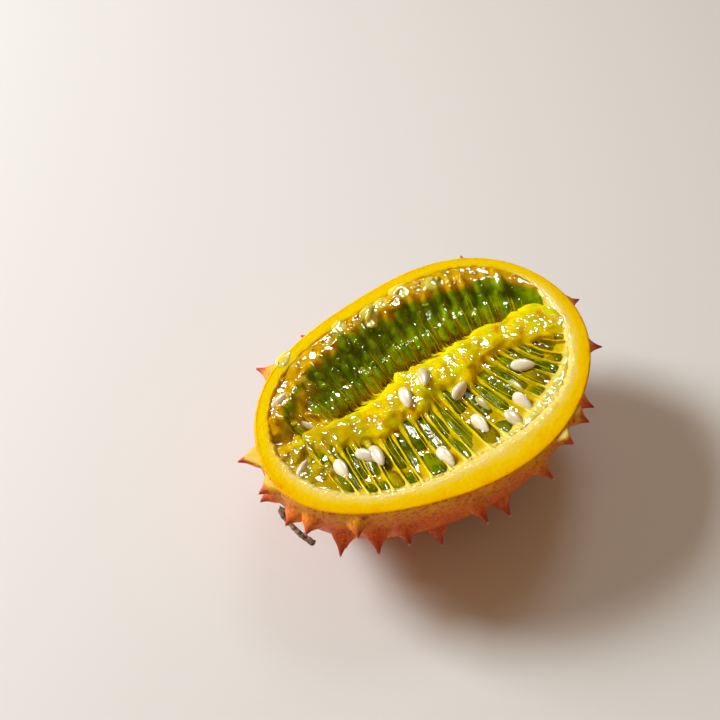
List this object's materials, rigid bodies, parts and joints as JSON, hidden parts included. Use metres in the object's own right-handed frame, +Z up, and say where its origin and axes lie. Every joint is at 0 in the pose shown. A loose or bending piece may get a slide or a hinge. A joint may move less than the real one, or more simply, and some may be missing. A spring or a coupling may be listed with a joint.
{
  "type": "horned melon half",
  "caption": "Half of a horned melon cut along its length: horned orange rind, pale flesh, yellow core with thin webs, green seed sacs with cream seeds, and a dry stalk.",
  "frame": {"origin": "on the surface it rests on, under the middle of the whole half's bounding box", "axes": "+X along the fruit towards its blossom end, with the stalk at -X; +Y across towards the thin side of the flesh; +Z up, square to the level cut face"},
  "size_m": [0.12, 0.0884, 0.0428],
  "materials": {
    "rind": "satin",
    "stem": "matte",
    "placenta": "gloss",
    "sacs": "gloss",
    "seed": "satin"
  },
  "bodies": {
    "root": {"rind": "rind", "stem": "stem", "placenta": "placenta", "sacs_near": "sacs", "sacs_far": "sacs"}
  },
  "joints": []
}
